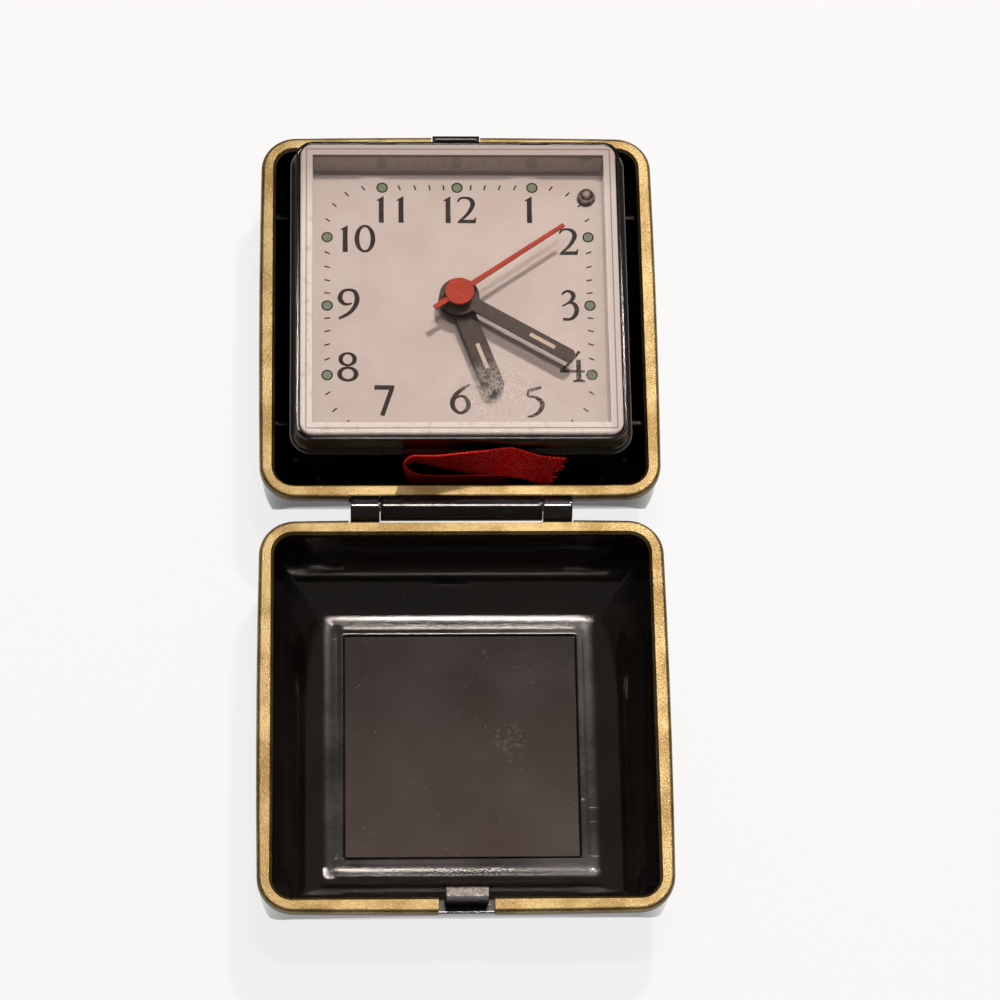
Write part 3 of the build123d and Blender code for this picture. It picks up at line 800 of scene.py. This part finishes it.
@dataclass
class Numerals:
    """The twelve dial numerals, drawn as pen strokes of changing width.

    A stroke is a list of (x, y, width) in drawing units from the digit's lower left
    corner. A fill is an outline. A ring is (x, y, x radius, y radius, side width, end width).
    """

    unit_x: float = 0.02216
    unit_y: float = 0.02465
    stroke_steps: int = 6
    ring_steps: int = 48
    widths: dict[str, float] = field(default_factory=lambda: {
        "0": 167, "1": 57, "2": 157, "3": 140, "4": 200, "5": 145, "6": 175, "7": 160, "8": 170, "9": 175,
    })
    heights: dict[str, float] = field(default_factory=lambda: {
        "0": 224, "1": 212, "2": 214, "3": 248, "4": 248, "5": 240, "6": 236, "7": 236, "8": 230, "9": 248,
    })
    strokes: dict[str, list] = field(default_factory=lambda: {
        "2": [[(8, 168, 12), (28, 196, 20), (68, 204, 20), (112, 190, 32), (129, 156, 38), (116, 116, 34),
               (78, 64, 26), (14, 10, 18)]],
        "3": [[(6, 205, 12), (24, 226, 20), (58, 236, 22), (94, 214, 36), (94, 180, 34), (64, 148, 22),
               (8, 118, 14)],
              [(58, 146, 14), (98, 138, 30), (121, 100, 38), (111, 50, 36), (70, 16, 26), (10, 16, 26)]],
        "4": [[(160, 240, 26), (116, 190, 24), (62, 134, 22), (12, 92, 18)],
              [(2, 86, 24), (90, 85, 24), (198, 84, 18)]],
        "5": [[(12, 208, 28), (60, 218, 28), (118, 234, 22)],
              [(18, 210, 22), (8, 166, 20)],
              [(6, 164, 16), (60, 158, 26), (110, 130, 36), (123, 92, 38), (96, 44, 34), (50, 16, 24),
               (4, 6, 14)]],
        "6": [[(164, 232, 18), (110, 202, 28), (58, 160, 36), (26, 104, 40), (34, 50, 34), (84, 14, 24),
               (136, 40, 34), (150, 86, 38), (126, 132, 28), (88, 144, 20), (48, 124, 12)]],
        "7": [[(139, 214, 36), (60, 2, 36)]],
        "9": [[(116, 134, 12), (88, 124, 20), (48, 130, 30), (20, 170, 40), (38, 220, 30), (84, 238, 22),
               (136, 222, 32), (155, 168, 40), (138, 108, 36), (90, 54, 30), (10, 12, 24)]],
    })
    fills: dict[str, list] = field(default_factory=lambda: {
        "1": [[(15, 0), (57, 0), (55, 110), (57, 212), (52, 212), (0, 182), (0, 174), (17, 176), (16, 110)]],
        "2": [[(0, 0), (150, 0), (157, 48), (147, 46), (136, 29), (40, 27), (16, 18)]],
        "4": [[(130, 14), (168, 14), (168, 176), (130, 176)],
              [(104, 0), (200, 0), (198, 14), (168, 24), (130, 24), (106, 14)]],
        "7": [[(0, 198), (0, 236), (160, 236), (154, 206), (146, 200), (18, 202)]],
    })
    rings: dict[str, list] = field(default_factory=lambda: {
        "0": [(83, 112, 64, 101, 39, 22)],
        "8": [(83, 174, 55, 46, 36, 20), (85, 60, 65, 49, 38, 22)],
    })
    spaces: dict[str, float] = field(default_factory=lambda: {"10": 53, "11": 101, "12": 48})
    places: dict[str, Flat] = field(default_factory=lambda: {
        "12": (0.45, 18.70), "1": (12.6, 18.72), "2": (19.55, 12.50), "3": (19.55, 0.05),
        "4": (19.65, -11.65), "5": (13.15, -18.45), "6": (0.05, -17.95), "7": (-13.1, -18.15),
        "8": (-19.45, -11.75), "9": (-19.3, 0.25), "10": (-17.6, 13.0), "11": (-11.9, 18.75),
    })

    def to_dial(self, corner: Flat, x: float, y: float) -> Flat:
        """A drawing place in millimetres on the dial."""
        return corner[0] + x * self.unit_x, corner[1] + y * self.unit_y

    def draw(self, sheet: "PrintSheet") -> None:
        """Draws every numeral.

        Args:
            sheet: The print that takes the shapes.
        """
        for text, (x, y) in self.places.items():
            wide = sum(self.widths[d] for d in text) + self.spaces.get(text, 0.0)
            left = x - wide * self.unit_x / 2
            for digit in text:
                low = y - self.heights[digit] * self.unit_y / 2
                self.draw_digit(sheet, digit, (left, low))
                left += (self.widths[digit] + self.spaces.get(text, 0.0)) * self.unit_x

    def draw_digit(self, sheet: "PrintSheet", digit: str, corner: Flat) -> None:
        """Draws one digit.

        Args:
            sheet: The print that takes the shapes.
            digit: The digit.
            corner: Its lower left corner on the dial in millimetres.
        """
        for outline in self.fills.get(digit, []):
            sheet.fill([self.to_dial(corner, x, y) for x, y in outline])
        for stroke in self.strokes.get(digit, []):
            pen = [(*self.to_dial(corner, x, y), w * self.unit_x) for x, y, w in stroke]
            sheet.stroke(smooth_line(pen, self.stroke_steps))
        for x, y, across, tall, side, end in self.rings.get(digit, []):
            pen = []
            for step in range(self.ring_steps + 1):
                turn = math.tau * step / self.ring_steps
                width = end + (side - end) * math.cos(turn) ** 2
                spot = self.to_dial(corner, x + across * math.cos(turn), y + tall * math.sin(turn))
                pen.append((*spot, width * self.unit_x))
            sheet.stroke(pen)


@dataclass
class PrintSheet:
    """One colour of print on the dial, as thin raised shapes.

    The shapes lie in layers a trace apart, so that crossing ones don't flicker.
    """

    height: float
    thickness: float = 0.012
    build: bmesh.types.BMesh = field(default_factory=bmesh.new)
    layer: int = 0
    layers: int = 7
    layer_lift: float = 0.0004
    round_steps: int = 28

    def corner(self, x: float, y: float) -> bmesh.types.BMVert:
        """A point of the print on the dial."""
        z = self.height + self.thickness + self.layer * self.layer_lift
        return self.build.verts.new(((DIAL_AXIS[0] + x) * MM, (DIAL_AXIS[1] + y) * MM, z * MM))

    def turn_up(self, face: bmesh.types.BMFace) -> None:
        """Makes a face look up from the dial.

        Args:
            face: The face.
        """
        face.normal_update()
        if face.normal.z < 0:
            face.normal_flip()

    def end_shape(self) -> None:
        """Goes to the next layer."""
        self.layer = (self.layer + 1) % self.layers

    def fill(self, outline: Sequence[Flat]) -> None:
        """Adds one filled outline, with its edges turned down to the dial.

        Args:
            outline: The corners in millimetres from the dial's axis.
        """
        face = self.build.faces.new([self.corner(x, y) for x, y in outline])
        self.turn_up(face)
        rim = list(face.edges)
        bmesh.ops.triangulate(self.build, faces=[face])
        made = bmesh.ops.extrude_edge_only(self.build, edges=rim)["geom"]
        for item in made:
            if isinstance(item, bmesh.types.BMVert):
                item.co.z = self.height * MM
        self.end_shape()

    def stroke(self, pen: Sequence[Sequence[float]]) -> None:
        """Adds one pen stroke.

        Args:
            pen: Points (x, y, width) in millimetres from the dial's axis.
        """
        left, right = [], []
        last = len(pen) - 1
        closed = math.dist(pen[0][:2], pen[last][:2]) < 1e-6
        for i, (x, y, width) in enumerate(pen):
            before = pen[last - 1] if closed and i == 0 else pen[max(i - 1, 0)]
            after = pen[1] if closed and i == last else pen[min(i + 1, last)]
            along = Vector((after[0] - before[0], after[1] - before[1])).normalized()
            half = width / 2
            left.append(self.corner(x - along.y * half, y + along.x * half))
            right.append(self.corner(x + along.y * half, y - along.x * half))
        for i in range(last):
            self.turn_up(self.build.faces.new((right[i], right[i + 1], left[i + 1], left[i])))
        self.end_shape()

    def disc(self, x: float, y: float, radius: float) -> None:
        """Adds a round dot.

        Args:
            x: Its place along X in millimetres from the dial's axis.
            y: Its place along Y.
            radius: Its radius.
        """
        turns = [math.tau * step / self.round_steps for step in range(self.round_steps)]
        self.fill([(x + radius * math.cos(a), y + radius * math.sin(a)) for a in turns])

    def ring(self, x: float, y: float, radius: float, width: float) -> None:
        """Adds a ring round a dot.

        Args:
            x: Its place along X in millimetres from the dial's axis.
            y: Its place along Y.
            radius: The radius of the ring's middle.
            width: The ring's width.
        """
        turns = [math.tau * step / self.round_steps for step in range(self.round_steps + 1)]
        self.stroke([(x + radius * math.cos(a), y + radius * math.sin(a), width) for a in turns])


@dataclass
class DialPrint:
    """Everything printed on the dial: minute track, hour dots and numerals."""

    half: float = 23.05
    corner: float = 7.7
    sag: float = 0.075
    tick_length: float = 1.05
    tick_width: float = 0.27
    dot_radius: float = 0.78
    ring_width: float = 0.26
    ring_lap: float = 0.02
    ring_lift: float = 0.006
    numerals: Numerals = field(default_factory=Numerals)

    def track(self, degrees: float) -> Flat:
        """Where a ray from the axis meets the rounded square of the minute track.

        Args:
            degrees: The ray's angle from twelve, clockwise.

        Returns:
            The place in millimetres from the dial's axis.
        """
        turn = math.radians(degrees)
        x, y = math.sin(turn), math.cos(turn)
        reach = self.half / max(abs(x), abs(y))
        inner = self.half - self.corner
        if min(abs(x), abs(y)) * reach > inner:
            middle = inner * (abs(x) + abs(y))
            reach = middle + math.sqrt(middle**2 - 2 * inner**2 + self.corner**2)
        drop = max(0.0, -y * reach - inner) * self.sag
        return x * reach, y * reach - drop

    def build(self, inks: dict[str, bpy.types.Material]) -> list[bpy.types.Object]:
        """Makes the printed pieces.

        Args:
            inks: The materials "ink" and "dot".

        Returns:
            The pieces.
        """
        ticks = PrintSheet(DIAL_TOP)
        dots = PrintSheet(DIAL_TOP)
        rings = PrintSheet(DIAL_TOP + self.ring_lift)
        for minute in range(1, 61):
            x, y = self.track(6.0 * minute)
            out = Vector((x, y)).normalized()
            if minute % 5:
                ends = (-self.tick_length / 2, self.tick_length / 2)
                ticks.stroke([(x + out.x * e, y + out.y * e, self.tick_width) for e in ends])
            else:
                self.dot(dots, rings, x, y)
        figures = PrintSheet(DIAL_TOP)
        self.numerals.draw(figures)
        return [
            new_piece("minute_track", ticks.build, inks["ink"]),
            new_piece("hour_dots", dots.build, inks["dot"]),
            new_piece("hour_rings", rings.build, inks["ink"]),
            new_piece("numerals", figures.build, inks["ink"]),
        ]

    def dot(self, dots: PrintSheet, rings: PrintSheet, x: float, y: float) -> None:
        """Adds one luminous hour dot with its dark ring."""
        dots.disc(x, y, self.dot_radius)
        rings.ring(x, y, self.dot_radius + self.ring_width / 2 - self.ring_lap, self.ring_width)


@dataclass
class Ribbon:
    """The red pull ribbon: down in the gap, once round, and up along the clock's frame.

    Each station gives the lower and the upper selvedge in millimetres, with Y counted from
    the hinge wall of the cavity and Z from the rim plane.
    """

    stations: list[tuple[Place, Place]] = field(default_factory=lambda: [
        ((8.0, 0.65, -4.3), (8.0, 0.60, 2.2)),
        ((4.0, 0.65, -4.2), (4.0, 0.55, 2.3)),
        ((-3.0, 0.65, -4.1), (-3.0, 0.40, 2.4)),
        ((-6.5, 0.80, -3.5), (-6.8, 0.35, 2.9)),
        ((-8.6, 1.10, -1.8), (-8.9, 0.35, 4.6)),
        ((-9.7, 2.20, 1.0), (-9.95, 0.70, 7.2)),
        ((-8.3, 2.70, 3.0), (-8.6, 1.20, 9.2)),
        ((-6.2, 2.55, 2.8), (-6.4, 1.30, 9.1)),
        ((-3.9, 2.25, 2.2), (-4.1, 1.55, 8.6)),
        ((-0.2, 1.65, 1.3), (-0.6, 2.30, 7.8)),
        ((4.2, 1.10, 1.0), (3.7, 3.00, 7.3)),
        ((9.1, 0.40, 1.5), (8.1, 3.55, 7.4)),
        ((10.6, 0.40, 1.0), (9.8, 3.45, 6.9)),
        ((12.6, 0.40, -0.5), (13.6, 2.75, 5.7)),
        ((14.6, 0.40, -1.9), (17.7, 2.70, 4.7)),
    ])
    wall: float = 4.7
    thickness: float = 0.28
    across: int = 16
    steps: int = 9
    threads: int = 22
    thread_width: float = 0.14
    thread_least: float = 0.25
    thread_most: float = 1.0
    thread_lean: float = 0.3
    thread_droop: float = 0.12
    length_wave: float = 7.3
    lean_wave: float = 3.1

    def build(self, finish: bpy.types.Material) -> bpy.types.Object:
        """Makes the ribbon as one woven strip with a loose cut end.

        Args:
            finish: The weave.

        Returns:
            The ribbon.
        """
        rows = smooth_line([(*low, *high) for low, high in self.stations], self.steps)
        build = bmesh.new()
        uv = build.loops.layers.uv.new("weave")
        shares = [k / self.across for k in range(self.across + 1)]
        grid, along = [], []
        run = 0.0
        for i, row in enumerate(rows):
            low, high = Vector(row[:3]), Vector(row[3:])
            if i:
                before = (Vector(rows[i - 1][:3]) + Vector(rows[i - 1][3:])) / 2
                run += ((low + high) / 2 - before).length
            along.append(run)
            grid.append([self.point(build, low.lerp(high, share)) for share in shares])
        width = (Vector(rows[0][:3]) - Vector(rows[0][3:])).length
        for i in range(len(rows) - 1):
            for k in range(self.across):
                spots = ((i, k), (i + 1, k), (i + 1, k + 1), (i, k + 1))
                face = build.faces.new([grid[a][b] for a, b in spots])
                face.smooth = True
                for loop, (a, b) in zip(face.loops, spots):
                    loop[uv].uv = (along[a], b * width / self.across)
        self.fray(build, uv, rows, along[-1])
        piece = new_piece("ribbon_cloth", build, finish)
        shell = piece.modifiers.new("thickness", "SOLIDIFY")
        shell.thickness = self.thickness * MM
        shell.offset = 0.0
        return piece

    def point(self, build: bmesh.types.BMesh, place: Vector) -> bmesh.types.BMVert:
        """A corner of the strip, given like the stations."""
        return build.verts.new((place.x * MM, (place.y + self.wall) * MM, (place.z + RIM_PLANE) * MM))

    def fray(
        self,
        build: bmesh.types.BMesh,
        uv: bmesh.types.BMLayerItem,
        rows: list[list[float]],
        run: float,
    ) -> None:
        """Adds the loose thread ends at the cut.

        Args:
            build: The strip's mesh.
            uv: Its map.
            rows: The strip's rows from end to end.
            run: The strip's length.
        """
        low, high = Vector(rows[-1][:3]), Vector(rows[-1][3:])
        ahead = ((low + high) - Vector(rows[-2][:3]) - Vector(rows[-2][3:])).normalized()
        side = (high - low).normalized()
        for n in range(self.threads):
            share = (n + 0.5) / self.threads
            longer = (self.thread_most - self.thread_least) * math.sin(self.length_wave * n + 1.0) ** 2
            length = self.thread_least + longer
            foot = low.lerp(high, share)
            tip = foot + ahead * length + side * (self.thread_lean * math.sin(self.lean_wave * n))
            tip.y -= self.thread_droop * length
            half = side * (self.thread_width / 2)
            corners = (foot - half, foot + half, tip + half * 0.5, tip - half * 0.5)
            face = build.faces.new([self.point(build, c) for c in corners])
            for loop in face.loops:
                loop[uv].uv = (run, share)


@dataclass
class Clock:
    """The whole clock: the finishes of the solid pieces and the pieces made here."""

    nodes: dict[str, bpy.types.Object]
    dial: DialPrint = field(default_factory=DialPrint)
    ribbon: Ribbon = field(default_factory=Ribbon)

    def finishes(self) -> dict[Finish, tuple[str, ...]]:
        """Which solid pieces wear which finish.

        Returns:
            The names of the pieces by finish.
        """
        return {
            BaseBlack("case_plastic", haze=0.05): ("base_shell",),
            LidBlack("lid_plastic", crease=0.5, coat_roughness=0.085, coat_ior=1.75): ("lid_shell",),
            MouldedBlack("frame_plastic", gloss=(0.14, 0.26), dusty=0.2, haze=0.05): (
                "module_frame", "module_back", "battery_door", "latch_button",
            ),
            HighlitTop("hook_plastic"): ("latch_hook",),
            LidPlate("lid_plate"): ("lid_panel",),
            Gilt("gilt"): ("base_rim", "lid_rim"),
            BareMetal("steel"): (
                "contact_plus", "contact_minus", "second_arbor",
                "screw_1", "screw_2", "screw_3", "screw_4",
            ),
            BareMetal("pin_steel", (0.10, 0.09, 0.08), (0.05, 0.044, 0.040)): ("hinge_pin",),
            BareMetal("brass", (0.60, 0.42, 0.17), (0.36, 0.22, 0.08)): (
                "buzzer", "minute_tube", "hour_tube", "alarm_tube",
            ),
            BareMetal("cell_can", (0.34, 0.34, 0.36), (0.20, 0.20, 0.21)): ("battery",),
            ClearCap("clear_cap"): ("crystal",),
            DialCard("dial_card"): ("dial",),
            LampLens("lamp_lens"): ("lamp",),
            Paint("movement_case", (0.22, 0.22, 0.23), (0.28, 0.28, 0.29), (0.45, 0.6)): ("movement",),
            Paint("knob_plastic", (0.010, 0.0085, 0.008), (0.022, 0.019, 0.018), (0.38, 0.55)): (
                "time_knob", "alarm_knob", "alarm_switch",
            ),
            Paint("hand_black", (0.026, 0.0145, 0.0120), (0.050, 0.032, 0.027), (0.34, 0.48), shine=0.12): (
                "hour_hand", "minute_hand", "alarm_hand",
            ),
            Paint("hand_red", (0.41, 0.030, 0.008), (0.53, 0.060, 0.020), (0.40, 0.52), shine=0.12): (
                "second_hand",
            ),
            Paint("lume", (0.74, 0.65, 0.55), (0.60, 0.52, 0.42), (0.7, 0.85), 0.02): (
                "hour_lume", "minute_lume",
            ),
            Paint("collar_green", (0.010, 0.036, 0.026), (0.022, 0.060, 0.045)): ("hour_collar",),
        }

    def dress(self) -> None:
        """Gives every solid piece its finish."""
        for finish, names in self.finishes().items():
            material = finish.material()
            for name in names:
                slots = self.nodes[name].data.materials
                for index in range(len(slots)):
                    slots[index] = material
                LOG.info("%s wears %s", name, material.name)
        # Light off the dial leaves straight through the cap, so the hands' shadows stay sharp.
        self.nodes["crystal"].visible_diffuse = False

    def print_dial(self) -> None:
        """Prints the dial and fixes the print to the clock module."""
        lume = Paint("dot_lume", (0.235, 0.300, 0.215), (0.330, 0.375, 0.290), (0.7, 0.85), 0.01)
        inks = {"ink": Print("dial_ink").material(), "dot": lume.material()}
        for piece in self.dial.build(inks):
            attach(piece, "module")
            LOG.info("%s rides on the module", piece.name)

    def lay_ribbon(self) -> None:
        """Puts the ribbon in its place."""
        piece = self.ribbon.build(RibbonWeave("ribbon_weave").material())
        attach(piece, "module")
        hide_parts("ribbon")
        LOG.info("%s rides on the module", piece.name)


@dataclass
class Studio:
    """A white floor in a dim warm room, with a small key lamp and a wide lamp overhead."""

    floor_side: float = 3.0
    room_colour: Colour = (1.0, 0.90, 0.82)
    room_strength: float = 0.13
    key_place: Place = (0.16, 0.38, 0.80)
    key_size: Flat = (0.05, 0.05)
    key_power: float = 4.3
    top_place: Place = (0.03, 0.065, 0.80)
    top_size: Flat = (0.13, 0.040)
    top_power: float = 1.8
    lamp_colour: Colour = (1.0, 0.90, 0.82)
    aim: Place = (0.0, 0.0, 0.02)

    def build(self) -> None:
        """Makes the floor, the world and the lamps."""
        self.make_floor()
        self.make_world()
        self.make_lamp("key", self.key_place, self.key_size, self.key_power)
        self.make_lamp("top", self.top_place, self.top_size, self.top_power)

    def make_floor(self) -> None:
        """Makes the floor."""
        build = bmesh.new()
        half = self.floor_side / 2
        spots = ((-half, -half), (half, -half), (half, half), (-half, half))
        build.faces.new([build.verts.new((x, y, 0.0)) for x, y in spots])
        material = FloorPaint("floor").material()
        new_piece("floor", build, material)

    def make_world(self) -> None:
        """Makes the plain room round the floor."""
        world = bpy.data.worlds.new("studio")
        world.use_nodes = True
        bpy.context.scene.world = world
        room = world.node_tree.nodes["Background"]
        room.inputs["Color"].default_value = (*self.room_colour, 1.0)
        room.inputs["Strength"].default_value = self.room_strength

    def make_lamp(self, name: str, place: Place, size: Flat, power: float) -> None:
        """Makes one soft lamp that looks at the clock.

        Args:
            name: The lamp's name.
            place: Where it hangs, in metres.
            size: Its width and height in metres.
            power: Its power in watts.
        """
        light = bpy.data.lights.new(name, "AREA")
        light.shape = "RECTANGLE"
        light.size, light.size_y = size
        light.energy = power
        light.color = self.lamp_colour
        lamp = bpy.data.objects.new(name, light)
        lamp.location = place
        lamp.rotation_mode = "QUATERNION"
        lamp.rotation_quaternion = (Vector(self.aim) - Vector(place)).to_track_quat("-Z", "Y")
        bpy.context.scene.collection.objects.link(lamp)


@dataclass
class Viewpoint:
    """The photograph's camera."""

    place: Place = (-0.0205, -0.2418, 0.6209)
    pitch: float = 67.83
    yaw: float = 6.38
    roll: float = 5.81
    focal: float = 135.46
    sensor: float = 36.0
    near: float = 0.01

    def build(self) -> None:
        """Makes the camera and gives it to the scene."""
        pitch, yaw, roll = (math.radians(a) for a in (self.pitch, self.yaw, self.roll))
        flat = math.cos(pitch)
        ahead = Vector((math.sin(yaw) * flat, math.cos(yaw) * flat, -math.sin(pitch)))
        level = Vector((math.cos(yaw), -math.sin(yaw), 0.0))
        upright = level.cross(ahead)
        right = level * math.cos(roll) + upright * math.sin(roll)
        top = upright * math.cos(roll) - level * math.sin(roll)
        data = bpy.data.cameras.new("camera")
        data.lens = self.focal
        data.sensor_width = self.sensor
        data.sensor_fit = "HORIZONTAL"
        data.clip_start = self.near
        camera = bpy.data.objects.new("camera", data)
        turn = Matrix((right, top, -ahead)).transposed().to_4x4()
        camera.matrix_world = Matrix.Translation(self.place) @ turn
        bpy.context.scene.collection.objects.link(camera)
        bpy.context.scene.camera = camera


def main() -> None:
    """Builds the whole scene."""
    logging.basicConfig(level=logging.INFO, format="%(name)s: %(message)s")
    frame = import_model()
    bpy.context.scene.view_settings.view_transform = "Standard"
    Viewpoint().build()
    Studio().build()
    clock = Clock(frame["nodes"])
    clock.dress()
    clock.print_dial()
    clock.lay_ribbon()


if __name__ == "__main__":
    main()
